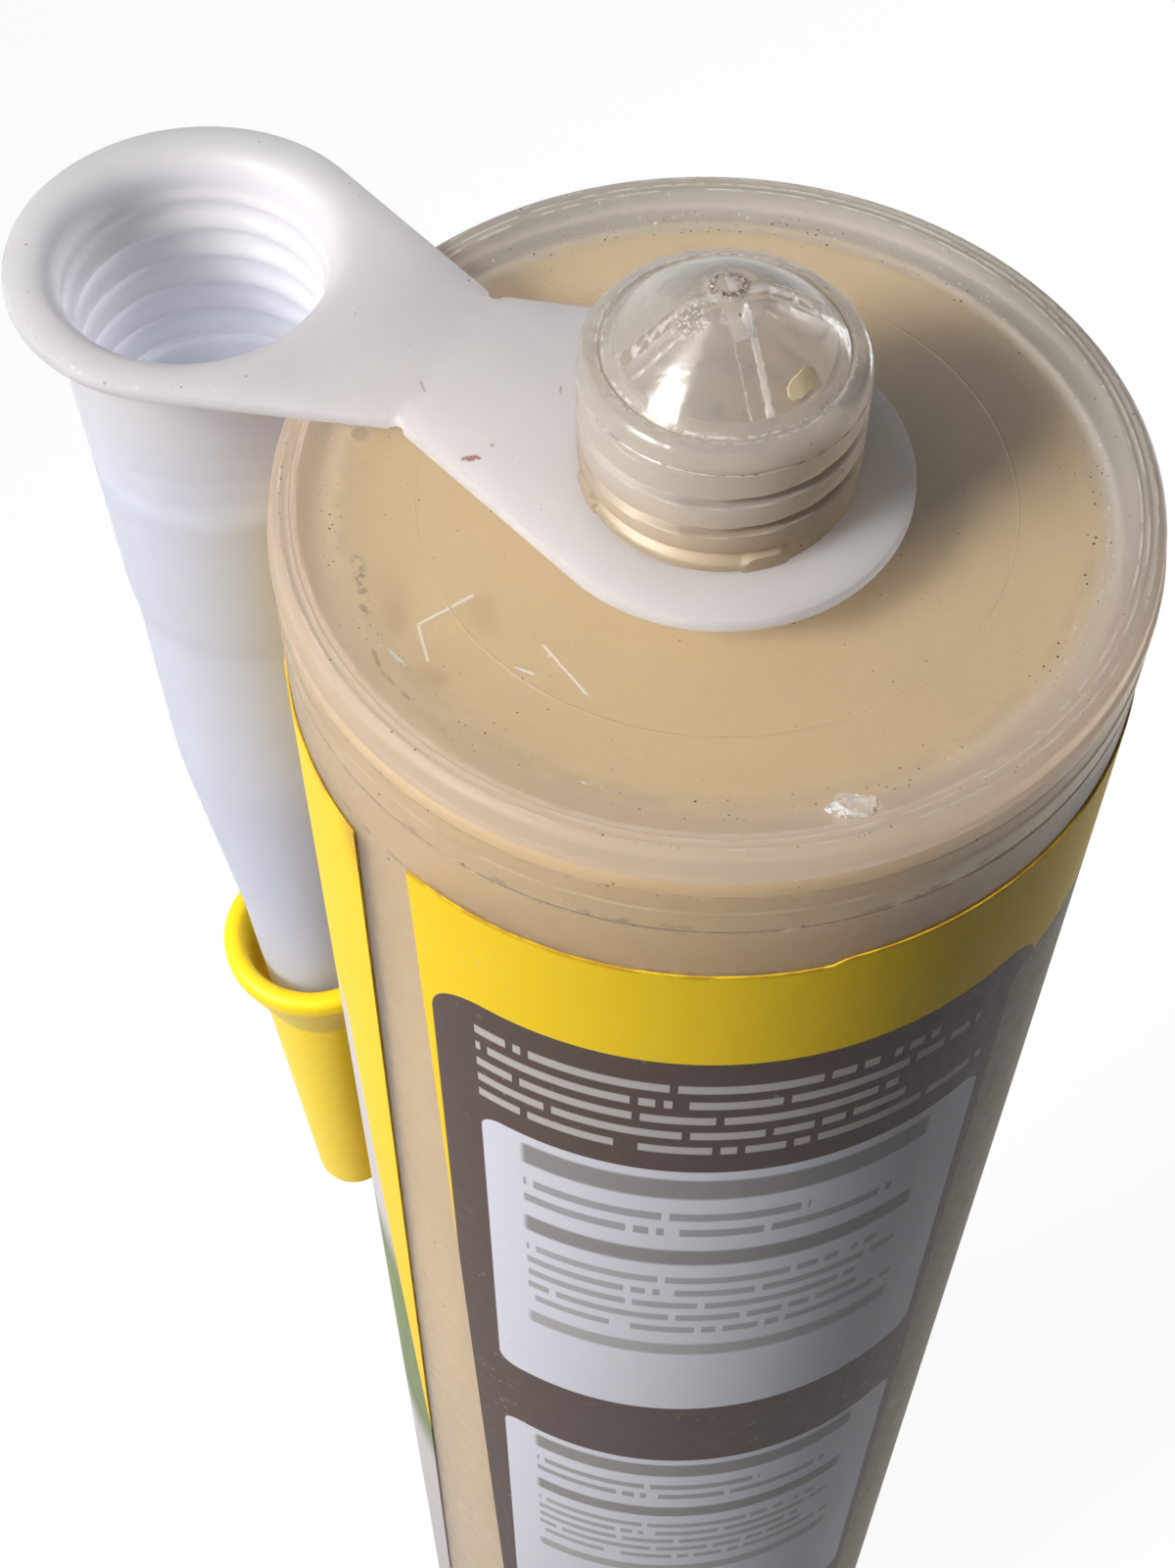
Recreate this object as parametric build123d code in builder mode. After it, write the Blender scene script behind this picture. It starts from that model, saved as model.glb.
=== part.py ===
from build123d import *
import os
from math import copysign, cos, radians, sin

# Sealant cartridge standing on its open rear end, in millimetres.
# The origin is the centre of the rear face, +Z runs along the tube to the nipple,
# and the spare nozzle hangs on its strap towards -X.

# Tube
tube_radius = 24.8
tube_wall = 1.4
tube_height = 215.0
lead_in_length = 9.0
lead_in_depth = 0.4
edge_break = 0.3

# Front end: raised rim, recessed shoulder and moulding lines outside
shoulder_recess = 1.0
shoulder_thickness = 1.8
inner_corner = 1.8
rim_width = 2.2
rim_step_drop = 1.7
rim_step = 0.25
seam_drop = 3.5
seam_depth = 0.25

# Nipple
neck_radius = 7.1
collar_width = 2.0
bead_reach = 0.45
bead_height = 0.35
thread_rise = 2.7
thread_length = 5.8
land_length = 1.9
thread_depth = 0.6
thread_pitch = 2.25
ridge_width = 1.3
ridge_flank = 0.25
ridge_root = 0.2
dome_ledge = 1.3
dome_height = 4.1
dome_flat = 1.4
dome_bulge = 11.0
nipple_wall = 1.7
dome_wall = 0.9
dome_rib_count = 4
dome_rib_width = 1.0
dome_rib_depth = 1.2
dome_rib_turn = -48.0
lug_count = 4
lug_width = 2.6
lug_height = 1.1
lug_overhang = 0.5

# Film label with a bare strip between its two ends
label_gap = 0.03
label_thickness = 0.12
label_top_drop = 10.7
label_rear_margin = 12.0
bare_strip_azimuth = -110.0
bare_strip_front_width = 4.8
bare_strip_rear_width = 12.2

# Nozzle, strap and ring, moulded in one
ring_clearance = 0.3
ring_width = 3.4
plate_gap = 0.2
plate_thickness = 1.0
plate_edge = 0.2
flange_width = 2.3
waist_width = 11.5
nick_radius = 0.5
nozzle_tube_clearance = 0.5
thread_clearance = 0.25
socket_wall = 0.8
socket_depth = 14.5
socket_lead_in = 1.6
socket_ridge_flank = 0.2
thread_side_clearance = 0.1
mouth_round = 1.4
socket_length = 29.2
socket_draft = 0.7
barrel_step = 0.3
barrel_length = 18.0
barrel_draft = 0.25
cone_length = 22.0
knee_radius = 5.3
spout_length = 49.5
tip_radius = 2.5
nozzle_wall = 1.2
tip_wall = 0.8

# Push-on cap
cap_clearance = 0.3
cap_wall = 0.65
cap_overlap = 42.0
cap_flare_length = 9.0
cap_flare = 1.9
cap_lip = 1.6
lip_rounding = 0.45
cap_end_gap = 0.5
cap_end_thickness = 2.0
cap_end_round = 1.4

# Piston and sealant
piston_rest = 12.0
piston_length = 20.0
piston_clearance = 0.3
piston_relief = 0.8
piston_wall = 1.3
crown_thickness = 1.8
crown_rise = 1.2
lip_length = 3.0
boss_radius = 6.0
boss_wall = 1.4
piston_rib_count = 6
piston_rib_width = 1.2
piston_rib_drop = 6.0
fill_gap = 0.15
nipple_fill_rise = 3.6

# Sizes that follow from the driving dimensions
bore_radius = tube_radius - tube_wall
rim_outer = tube_radius - rim_step
rim_inner = rim_outer - rim_width
lead_in_radius = bore_radius + lead_in_depth
rim_top = tube_height
shoulder_top = rim_top - shoulder_recess
shoulder_underside = shoulder_top - shoulder_thickness
collar_radius = neck_radius + collar_width
crest_radius = neck_radius + thread_depth
thread_start = rim_top + thread_rise
land_bottom = thread_start + thread_length
thread_end = land_bottom + land_length
dome_radius = crest_radius - dome_ledge
dome_top = thread_end + dome_height
nipple_bore = crest_radius - thread_depth - nipple_wall
plate_bottom = rim_top + plate_gap
plate_top = plate_bottom + plate_thickness
bead_bottom = plate_top + plate_gap
ring_bore = neck_radius + ring_clearance
ring_radius = ring_bore + ring_width
socket_minor = neck_radius + thread_clearance
socket_major = crest_radius + thread_clearance
socket_radius = socket_major + socket_wall
ridge_foot = ridge_width + 2 * ridge_flank
socket_ridge_foot = thread_pitch - ridge_width - 2 * thread_side_clearance
socket_thread_length = socket_depth - socket_lead_in - thread_pitch
flange_radius = socket_radius + flange_width
label_inner = tube_radius + label_gap
label_outer = label_inner + label_thickness
label_top = rim_top - label_top_drop
strap_reach = label_outer + nozzle_tube_clearance + socket_radius
waist_reach = strap_reach / 2
step_z = plate_top - socket_length
barrel_radius = socket_radius - socket_draft - barrel_step
barrel_end = step_z - barrel_length
barrel_end_radius = barrel_radius - barrel_draft
knee_z = barrel_end - cone_length
tip_z = knee_z - spout_length
spout_taper = (knee_radius - tip_radius) / spout_length
socket_bottom = plate_top - socket_depth
cap_mouth = tip_z + cap_overlap
cap_throat = cap_mouth - cap_flare_length
spout_at_mouth = tip_radius + cap_overlap * spout_taper
cap_mouth_radius = spout_at_mouth + cap_clearance + cap_wall + cap_flare
cap_inner_end = tip_z - cap_end_gap
cap_end = cap_inner_end - cap_end_thickness
piston_crown = piston_rest + piston_length
piston_radius = bore_radius - piston_clearance
piston_body_radius = piston_radius - piston_relief
crown_edge = piston_crown - crown_rise
crown_underside = crown_edge - crown_thickness


def spout_radius(z):
    """Outer radius of the slim end of the nozzle at a height."""
    return tip_radius + (z - tip_z) * spout_taper


def cap_bore(z):
    """Inner radius of the cap at a height, following the spout below it."""
    return spout_radius(max(z, tip_z)) + cap_clearance


def thread_ridge(wall_radius, height, root_width, crest_width, start, length, centre_x):
    """Helical ridge standing on a round wall; a negative height stands inwards, in a bore."""
    root = -copysign(ridge_root, height)
    section_plane = Plane((centre_x + wall_radius, 0, start), x_dir=(1, 0, 0), z_dir=(0, 1, 0))
    with BuildPart() as ridge:
        with BuildLine() as path:
            Helix(thread_pitch, length, wall_radius, center=(centre_x, 0, start))
        with BuildSketch(section_plane) as section:
            with BuildLine():
                Polyline(
                    (root, -root_width / 2),
                    (height, -crest_width / 2),
                    (height, crest_width / 2),
                    (root, root_width / 2),
                    close=True,
                )
            make_face()
        sweep(sections=section.sketch, path=path.line, is_frenet=True)
    return ridge.part


def strap_half(centre_x, radius):
    """Outline of a round eye drawn in to the waist of the strap."""
    with BuildSketch() as half:
        with BuildLine() as outline:
            CenterArc((centre_x, 0), radius, 0, 360)
            Line((-waist_reach, -waist_width / 2), (-waist_reach, waist_width / 2))
        make_hull(outline.edges())
    return half.sketch


def upright_plane(azimuth):
    """Plane through the tube axis, with its x pointing outwards at an azimuth and its y up."""
    turn = radians(azimuth)
    return Plane((0, 0, 0), x_dir=(cos(turn), sin(turn), 0), z_dir=(sin(turn), -cos(turn), 0))


# Cartridge: tube, rim, shoulder and closed nipple in one moulding
nipple_thread = thread_ridge(
    neck_radius, thread_depth, ridge_foot, ridge_width,
    thread_start + ridge_foot / 2, thread_length - thread_pitch, 0,
)
with BuildPart() as cartridge:
    with BuildSketch(Plane.XZ):
        with BuildLine():
            Polyline(
                (0, dome_top - dome_wall),
                (0, dome_top),
                (dome_flat, dome_top),
            )
            RadiusArc((dome_flat, dome_top), (dome_radius, thread_end), dome_bulge)
            Polyline(
                (dome_radius, thread_end),
                (crest_radius - edge_break, thread_end),
                (crest_radius, thread_end - edge_break),
                (crest_radius, land_bottom + edge_break),
                (neck_radius, land_bottom),
                (neck_radius, bead_bottom + bead_height + bead_reach),
                (neck_radius + bead_reach, bead_bottom + bead_height),
                (neck_radius + bead_reach, bead_bottom),
                (neck_radius, bead_bottom),
                (neck_radius, rim_top),
                (collar_radius, rim_top),
                (collar_radius, shoulder_top),
                (rim_inner, shoulder_top),
                (rim_inner, rim_top - edge_break),
                (rim_inner + edge_break, rim_top),
                (rim_outer - edge_break, rim_top),
                (rim_outer, rim_top - edge_break),
                (rim_outer, rim_top - rim_step_drop),
                (tube_radius, rim_top - rim_step_drop - rim_step),
                (tube_radius, rim_top - seam_drop + seam_depth),
                (tube_radius - seam_depth, rim_top - seam_drop),
                (tube_radius, rim_top - seam_drop - seam_depth),
                (tube_radius, edge_break),
                (tube_radius - edge_break, 0),
                (lead_in_radius, 0),
                (lead_in_radius, lead_in_length),
                (bore_radius, lead_in_length + lead_in_depth),
                (bore_radius, shoulder_underside - inner_corner),
            )
            RadiusArc(
                (bore_radius, shoulder_underside - inner_corner),
                (bore_radius - inner_corner, shoulder_underside),
                -inner_corner,
            )
            Polyline(
                (bore_radius - inner_corner, shoulder_underside),
                (nipple_bore, shoulder_underside),
                (nipple_bore, thread_end),
            )
            RadiusArc((nipple_bore, thread_end), (dome_flat, dome_top - dome_wall), -dome_bulge)
            Line((dome_flat, dome_top - dome_wall), (0, dome_top - dome_wall))
        make_face()
    revolve(axis=Axis.Z)
    add(nipple_thread)
    # Ribs inside the dome, meeting in a cross under its top
    for rib in range(dome_rib_count):
        with BuildSketch(upright_plane(dome_rib_turn + rib * 360 / dome_rib_count)):
            with BuildLine():
                RadiusArc((nipple_bore, thread_end), (dome_flat, dome_top - dome_wall / 2), -dome_bulge)
                Polyline(
                    (dome_flat, dome_top - dome_wall / 2),
                    (0, dome_top - dome_wall / 2),
                    (0, dome_top - dome_wall - dome_rib_depth),
                    (dome_flat, dome_top - dome_wall - dome_rib_depth),
                )
                RadiusArc(
                    (dome_flat, dome_top - dome_wall - dome_rib_depth),
                    (nipple_bore, thread_end - dome_rib_depth),
                    dome_bulge,
                )
                Line((nipple_bore, thread_end - dome_rib_depth), (nipple_bore, thread_end))
            make_face()
        extrude(amount=dome_rib_width / 2, both=True)
    # Lugs on the neck, which keep the ring of the strap down
    with PolarLocations(neck_radius, lug_count, start_angle=dome_rib_turn):
        with Locations((0, 0, bead_bottom)):
            Box(
                2 * (ring_clearance + lug_overhang), lug_width, lug_height,
                align=(Align.CENTER, Align.CENTER, Align.MIN),
            )
cartridge.part.label = "cartridge"

# Label: a film round the tube, with a bare strip that widens towards the rear
with BuildPart() as label:
    with BuildSketch(Plane.XY.offset(label_rear_margin)):
        Circle(label_outer)
        Circle(label_inner, mode=Mode.SUBTRACT)
    extrude(amount=label_top - label_rear_margin)
    strip_turn = radians(bare_strip_azimuth)
    outwards = (cos(strip_turn), sin(strip_turn), 0)
    with BuildSketch(Plane((0, 0, 0), x_dir=(-sin(strip_turn), cos(strip_turn), 0), z_dir=outwards)):
        with BuildLine():
            Polyline(
                (-bare_strip_rear_width / 2, label_rear_margin),
                (bare_strip_rear_width / 2, label_rear_margin),
                (bare_strip_front_width / 2, label_top),
                (-bare_strip_front_width / 2, label_top),
                close=True,
            )
        make_face()
    extrude(amount=label_outer, mode=Mode.SUBTRACT)
label.part.label = "label"

# Nozzle: threaded socket, stepped barrel, cone and spout, with the strap and ring on its flange
ring_eye = strap_half(0, ring_radius)
flange_eye = strap_half(-strap_reach, flange_radius)
socket_thread = thread_ridge(
    socket_major, socket_minor - socket_major,
    socket_ridge_foot, socket_ridge_foot - 2 * socket_ridge_flank,
    socket_bottom + thread_pitch, socket_thread_length, -strap_reach,
)
nozzle_plane = Plane((-strap_reach, 0, 0), x_dir=(1, 0, 0), z_dir=(0, -1, 0))
nozzle_axis = Axis((-strap_reach, 0, 0), (0, 0, 1))
with BuildPart() as nozzle:
    with BuildSketch(Plane.XY.offset(plate_bottom)):
        add(ring_eye)
        add(flange_eye)
        with Locations((-waist_reach, -waist_width / 2), (-waist_reach, waist_width / 2)):
            Circle(nick_radius, mode=Mode.SUBTRACT)
    extrude(amount=plate_thickness)
    chamfer(edges().group_by(Axis.Z)[-1], plate_edge)
    with BuildSketch(nozzle_plane):
        with BuildLine():
            Polyline(
                (0, plate_bottom),
                (socket_radius, plate_bottom),
                (barrel_radius + barrel_step, step_z + barrel_step),
                (barrel_radius, step_z - barrel_step),
                (barrel_end_radius, barrel_end),
                (knee_radius, knee_z),
                (tip_radius, tip_z),
                (0, tip_z),
                close=True,
            )
        make_face()
    revolve(axis=nozzle_axis)
    with BuildSketch(nozzle_plane):
        with BuildLine():
            Polyline((0, plate_top), (socket_major + mouth_round, plate_top))
            RadiusArc(
                (socket_major + mouth_round, plate_top),
                (socket_major, plate_top - mouth_round),
                -mouth_round,
            )
            Polyline(
                (socket_major, plate_top - mouth_round),
                (socket_major, socket_bottom),
                (socket_minor, socket_bottom),
                (barrel_radius - nozzle_wall, step_z),
                (barrel_end_radius - nozzle_wall, barrel_end),
                (knee_radius - nozzle_wall, knee_z),
                (tip_radius - tip_wall, tip_z),
                (0, tip_z),
                (0, plate_top),
            )
        make_face()
    revolve(axis=nozzle_axis, mode=Mode.SUBTRACT)
    with BuildSketch(Plane.XY.offset(plate_bottom)):
        Circle(ring_bore)
    extrude(amount=plate_thickness, mode=Mode.SUBTRACT)
    add(socket_thread)
nozzle.part.label = "nozzle"

# Cap: a slim cup over the spout, with a flared and rounded mouth
with BuildPart() as nozzle_cap:
    with BuildSketch(nozzle_plane):
        with BuildLine():
            Polyline(
                (0, cap_end),
                (cap_bore(cap_end) + cap_wall, cap_end),
                (cap_bore(cap_throat) + cap_wall, cap_throat),
                (cap_mouth_radius, cap_mouth - cap_lip),
                (cap_mouth_radius, cap_mouth),
                (cap_mouth_radius - cap_lip, cap_mouth),
                (cap_bore(cap_throat), cap_throat),
                (cap_bore(cap_inner_end), cap_inner_end),
                (0, cap_inner_end),
                close=True,
            )
        make_face()
    revolve(axis=nozzle_axis)
    fillet(edges().group_by(Axis.Z)[-1], cap_lip * lip_rounding)
    fillet(edges().group_by(Axis.Z)[0], cap_end_round)
nozzle_cap.part.label = "nozzle_cap"

# Piston: a cup with two sealing lips, open to the rear, stiffened by ribs round a boss
with BuildPart() as piston:
    with BuildSketch(Plane.XZ):
        with BuildLine():
            Polyline(
                (0, piston_crown),
                (boss_radius, piston_crown),
                (piston_radius, crown_edge),
                (piston_radius, crown_edge - lip_length),
                (piston_body_radius, crown_edge - lip_length - piston_relief),
                (piston_body_radius, piston_rest + lip_length + piston_relief),
                (piston_radius, piston_rest + lip_length),
                (piston_radius, piston_rest),
                (piston_radius - piston_wall, piston_rest),
                (piston_body_radius - piston_wall, piston_rest + lip_length + piston_relief),
                (piston_body_radius - piston_wall, crown_underside),
                (boss_radius, crown_underside),
                (boss_radius, piston_rest + piston_rib_drop),
                (boss_radius - boss_wall, piston_rest + piston_rib_drop),
                (boss_radius - boss_wall, crown_underside),
                (0, crown_underside),
                close=True,
            )
        make_face()
    revolve(axis=Axis.Z)
    with PolarLocations(boss_radius - boss_wall / 2, piston_rib_count):
        with Locations((0, 0, piston_rest + piston_rib_drop)):
            Box(
                piston_body_radius - piston_wall / 2 - boss_radius + boss_wall / 2,
                piston_rib_width,
                crown_underside - piston_rest - piston_rib_drop + crown_thickness / 2,
                align=(Align.MIN, Align.CENTER, Align.MIN),
            )
piston.part.label = "piston"

# Sealant: fills the tube from the piston to the shoulder and the foot of the nipple
fill_radius = bore_radius - fill_gap
fill_top = shoulder_underside - fill_gap
with BuildPart() as sealant_fill:
    with BuildSketch(Plane.XZ):
        with BuildLine():
            Polyline(
                (0, piston_crown + fill_gap),
                (boss_radius, piston_crown + fill_gap),
                (fill_radius, crown_edge + fill_gap),
                (fill_radius, fill_top - inner_corner),
            )
            RadiusArc(
                (fill_radius, fill_top - inner_corner),
                (fill_radius - inner_corner, fill_top),
                -inner_corner,
            )
            Polyline(
                (fill_radius - inner_corner, fill_top),
                (nipple_bore - fill_gap, fill_top),
                (nipple_bore - fill_gap, rim_top + nipple_fill_rise),
                (0, rim_top + nipple_fill_rise),
                (0, piston_crown + fill_gap),
            )
        make_face()
    revolve(axis=Axis.Z)
sealant_fill.part.label = "sealant_fill"

os.makedirs("parts", exist_ok=True)
for piece in (cartridge, label, nozzle, nozzle_cap, piston, sealant_fill):
    export_step(piece.part, f"parts/{piece.part.label}.step")
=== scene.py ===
"""Sealant cartridge with its spare nozzle on a strap: its looks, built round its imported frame.

Lengths are in millimetres where nothing else is said, and turned into metres where a mesh is made.
"""
import math
from functools import partial, reduce

import bmesh
import bpy
import numpy as np
from mathutils import Matrix, Vector


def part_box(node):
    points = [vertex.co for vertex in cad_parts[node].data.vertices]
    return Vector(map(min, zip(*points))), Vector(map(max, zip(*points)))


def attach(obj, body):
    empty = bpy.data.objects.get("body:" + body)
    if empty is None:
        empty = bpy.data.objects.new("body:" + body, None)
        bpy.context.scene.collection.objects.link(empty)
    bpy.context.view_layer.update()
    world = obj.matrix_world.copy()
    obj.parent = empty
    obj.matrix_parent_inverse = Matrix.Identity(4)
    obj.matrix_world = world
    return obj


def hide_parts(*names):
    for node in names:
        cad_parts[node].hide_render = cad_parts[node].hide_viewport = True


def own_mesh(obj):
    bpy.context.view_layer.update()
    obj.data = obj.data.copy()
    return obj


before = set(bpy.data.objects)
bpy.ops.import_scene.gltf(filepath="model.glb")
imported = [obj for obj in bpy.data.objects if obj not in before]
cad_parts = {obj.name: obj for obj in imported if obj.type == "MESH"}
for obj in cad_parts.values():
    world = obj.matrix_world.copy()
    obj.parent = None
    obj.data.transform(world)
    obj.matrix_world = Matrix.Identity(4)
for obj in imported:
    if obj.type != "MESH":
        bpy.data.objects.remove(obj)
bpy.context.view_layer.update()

MM = 0.001


def node_box(name):
    """Lowest and highest corner of a CAD node in millimetres."""
    low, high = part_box(name)
    return low / MM, high / MM


# Sizes read from the frame
CARTRIDGE_HIGH = node_box("cartridge")[1]
LABEL_LOW, LABEL_HIGH = node_box("label")
NOZZLE_LOW, NOZZLE_HIGH = node_box("nozzle")
FILL_LOW, FILL_HIGH = node_box("sealant_fill")
TUBE_RADIUS = CARTRIDGE_HIGH.x
DOME_TOP = CARTRIDGE_HIGH.z
LABEL_RADIUS = LABEL_HIGH.x
LABEL_TOP = LABEL_HIGH.z
LABEL_BOTTOM = LABEL_LOW.z
FILL_RADIUS = FILL_HIGH.x

# Cartridge, as the solid has it
NIPPLE_HEIGHT = 14.5
RIM_TOP = DOME_TOP - NIPPLE_HEIGHT
TUBE_WALL = 1.4
BORE_RADIUS = TUBE_RADIUS - TUBE_WALL
SHOULDER_TOP = RIM_TOP - 1.0
SHOULDER_UNDERSIDE = SHOULDER_TOP - 1.8
INNER_CORNER = 1.8
LEAD_IN_LENGTH = 9.0
LEAD_IN_DEPTH = 0.4
RIM_OUTER = TUBE_RADIUS - 0.25
RIM_INNER = RIM_OUTER - 2.2
SEAM_Z = RIM_TOP - 3.5
LEDGE_LINE_Z = RIM_TOP - 5.0
LOW_SEAM_Z = RIM_TOP - 6.8
NECK_RADIUS = 7.1
COLLAR_RADIUS = 9.1
CREST_RADIUS = 7.7
BEAD_BOTTOM = RIM_TOP + 1.4
BEAD_HEIGHT = 0.35
BEAD_REACH = 0.45
THREAD_START = RIM_TOP + 2.7
THREAD_PITCH = 2.25
LAND_BOTTOM = THREAD_START + 5.8
LEDGE = LAND_BOTTOM + 1.9
DOME_RADIUS = CREST_RADIUS - 1.3
DOME_FLAT = 1.4
DOME_WALL = 0.9
CEILING_RADIUS = 1.9
GATE_X, GATE_Y = -0.25, 0.26
GATE_RADIUS = 0.85
NIPPLE_BORE = 5.4
RIB_COUNT = 4
RIB_TURN = math.radians(-44)
RIB_WIDTH = 1.0
RIB_DEPTH = 1.2
LUG_COUNT = 4
LUG_WIDTH = 2.6
LUG_HEIGHT = 1.1
LUG_REACH = 0.6
SHELL_STEPS = 300
PASTE_STEPS = 128

# Piston's crown and the paste on it
BOSS_RADIUS = 6.0
CROWN_RISE = 1.2
FILL_GAP = 0.15
PLUG_TOP = RIM_TOP + 4.6

# Nozzle, strap and ring
NOZZLE_X = -34.2
PLATE_TOP = NOZZLE_HIGH.z
PLATE_BOTTOM = PLATE_TOP - 1.0
PLATE_EDGE = 0.22
RING_BORE = 7.4
RING_RADIUS = NOZZLE_HIGH.x
FLANGE_RADIUS = NOZZLE_X - NOZZLE_LOW.x
WAIST_X = NOZZLE_X / 2
WAIST_HALF = 5.75
NICK_RADIUS = 0.5
SOCKET_RADIUS = 8.75
SOCKET_MAJOR = 7.95
SOCKET_MINOR = 7.35
SOCKET_BOTTOM = PLATE_TOP - 14.5
MOUTH_REACH = 1.4
MOUTH_DEPTH = 1.6
STEP_Z = PLATE_TOP - 28.2
STEP = 0.3
STEP_RUN = 0.9
BARREL_RADIUS = 7.75
BARREL_END = PLATE_TOP - 47.2
BARREL_END_RADIUS = 7.5
KNEE_RADIUS = 5.3
KNEE_Z = BARREL_END - 22.0
TIP_RADIUS = 2.5
TIP_Z = NOZZLE_LOW.z
NOZZLE_WALL = 1.2
TIP_WALL = 0.8
TURN_STEPS = 192

# Label: half the bare strip at the front and the rear end, and how its top edge drops
STRIP_AZIMUTH = math.radians(-110)
STRIP_FRONT = math.radians(5.5)
STRIP_REAR = math.radians(14.3)
FILM_THICKNESS = 0.1
TOP_STEP = 0.45
LAST_END_SHARE = 0.75
LAST_END_DROP = 2.2

# Floor, sky and lamps, in metres, and the light that a thin wall lets through
FLOOR_REACH = 4.0
FLOOR_TONE = (0.8, 0.8, 0.8, 1)
FLOOR_WHITENESS = 0.87
FLOOR_GLOW = 1.08
SKY_LIGHT = 0.07
KEY_LAMP = {
    "place": (-0.235, -0.335, 0.485), "aim": (-0.08, -0.04, 0.2),
    "size": 0.2, "spread": 44, "watts": 0.33, "tint": (1.0, 0.99, 0.98),
}
BACK_LAMP = {
    "place": (0.20, 0.62, 0.06), "aim": (0, 0, 0.08),
    "size": 0.2, "spread": 180, "watts": 0.8, "tint": (0.97, 0.98, 1.0),
}
WALL_LAMP_TINT = (0.8, 0.78, 0.75, 1)

# Camera, from the photograph
IMAGE_HEIGHT = 1601
FOCAL_PIXELS = 2459.2
CAMERA_DISTANCE = 133.1
CAMERA_AZIMUTH = math.radians(-66.3)
CAMERA_ELEVATION = math.radians(48.68)
CAMERA_PAN = math.radians(2.60)
CAMERA_TILT = math.radians(-7.38)
CAMERA_ROLL = math.radians(3.60)


def srgb(red, green, blue):
    """Colour for a shader socket from screen values of 0 to 255."""
    values = (v / 255 for v in (red, green, blue))
    return tuple(v / 12.92 if v < 0.04 else ((v + 0.055) / 1.055) ** 2.4 for v in values) + (1.0,)


# Mesh helpers


def place_object(name, data):
    """New object in the scene."""
    made = bpy.data.objects.new(name, data)
    bpy.context.scene.collection.objects.link(made)
    return made


def add_object(name, mesh, body, material, smooth_angle=35):
    """Puts a mesh in the scene, smooth below an angle, riding on a CAD body."""
    piece = place_object(name, mesh)
    mesh.materials.append(material)
    mesh.shade_smooth()
    mesh.set_sharp_from_angle(angle=math.radians(smooth_angle))
    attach(piece, body)
    return piece


def arc(start, end, radius, steps):
    """Points on an arc that bulges left of its way, or right where the radius is negative."""
    start, end = Vector(start), Vector(end)
    chord = end - start
    side = Vector((-chord.y, chord.x)).normalized()
    half = chord.length / 2
    height = math.sqrt(max(radius * radius - half * half, 0))
    centre = (start + end) / 2 - math.copysign(height, radius) * side
    first, last = start - centre, end - centre
    turn = first.angle_signed(last)
    return [centre + Matrix.Rotation(-turn * i / steps, 2) @ first for i in range(steps + 1)]


def curve(start, lead, end, steps):
    """Points on a smooth curve from start to end, drawn towards a leading point."""
    start, lead, end = Vector(start), Vector(lead), Vector(end)
    shares = np.linspace(0, 1, steps + 1)
    return [start * (1 - t) ** 2 + lead * 2 * t * (1 - t) + end * t * t for t in shares]


def rounded(corners, steps=4):
    """Outline through (radius, height, rounding) corners."""
    points = []
    for i, (r, z, cut) in enumerate(corners):
        here = Vector((r, z))
        if cut == 0 or i in (0, len(corners) - 1):
            points.append(here)
            continue
        before = here + (Vector(corners[i - 1][:2]) - here).normalized() * cut
        after = here + (Vector(corners[i + 1][:2]) - here).normalized() * cut
        points += curve(before, here, after, steps)
    return points


def dense(points, longest):
    """The same outline with no stretch longer than a given length."""
    made = [Vector(points[0])]
    for a, b in zip(points, points[1:]):
        a, b = Vector(a), Vector(b)
        parts = max(1, math.ceil((b - a).length / longest))
        made += [a.lerp(b, k / parts) for k in range(1, parts + 1)]
    return made


def turned_mesh(name, profile, segments, shape=None, centre_x=0.0):
    """Mesh turned about an upright axis from (radius, height) points, which shape may move."""
    outline = np.array([tuple(p) for p in profile])
    count = len(outline)
    angle = np.arange(segments) * 2 * math.pi / segments
    theta, r = np.meshgrid(angle, outline[:, 0], indexing="ij")
    z = np.broadcast_to(outline[:, 1], r.shape).copy()
    if shape:
        r, z = shape(theta, r, z)
    corners = np.stack([centre_x + r * np.cos(theta), r * np.sin(theta), z], -1).reshape(-1, 3) * MM
    i, k = np.meshgrid(np.arange(segments), np.arange(count - 1), indexing="ij")
    following = (i + 1) % segments
    here, beside = i * count + k, following * count + k
    quads = np.stack([here, here + 1, beside + 1, beside], -1)
    mesh = bpy.data.meshes.new(name)
    mesh.from_pydata(corners.tolist(), [], quads.reshape(-1, 4).tolist())
    return weld(mesh)


def weld(mesh):
    """Joins points that fall together and turns the faces outwards."""
    work = bmesh.new()
    work.from_mesh(mesh)
    bmesh.ops.remove_doubles(work, verts=work.verts, dist=1e-7)
    bmesh.ops.dissolve_degenerate(work, edges=work.edges, dist=1e-8)
    bmesh.ops.recalc_face_normals(work, faces=work.faces)
    work.to_mesh(mesh)
    work.free()
    return mesh


def to_mesh(name, work):
    """New mesh from an editing mesh, which is used up."""
    mesh = bpy.data.meshes.new(name)
    work.to_mesh(mesh)
    work.free()
    return weld(mesh)


def hull_mesh(name, points):
    """Closed mesh stretched round points."""
    work = bmesh.new()
    for point in points:
        work.verts.new(point * MM)
    bmesh.ops.convex_hull(work, input=work.verts)
    return to_mesh(name, work)


def smoothstep(low, high, value):
    """Soft step from 0 at low to 1 at high."""
    t = np.clip((value - low) / (high - low), 0, 1)
    return t * t * (3 - 2 * t)


# Node helpers


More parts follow.
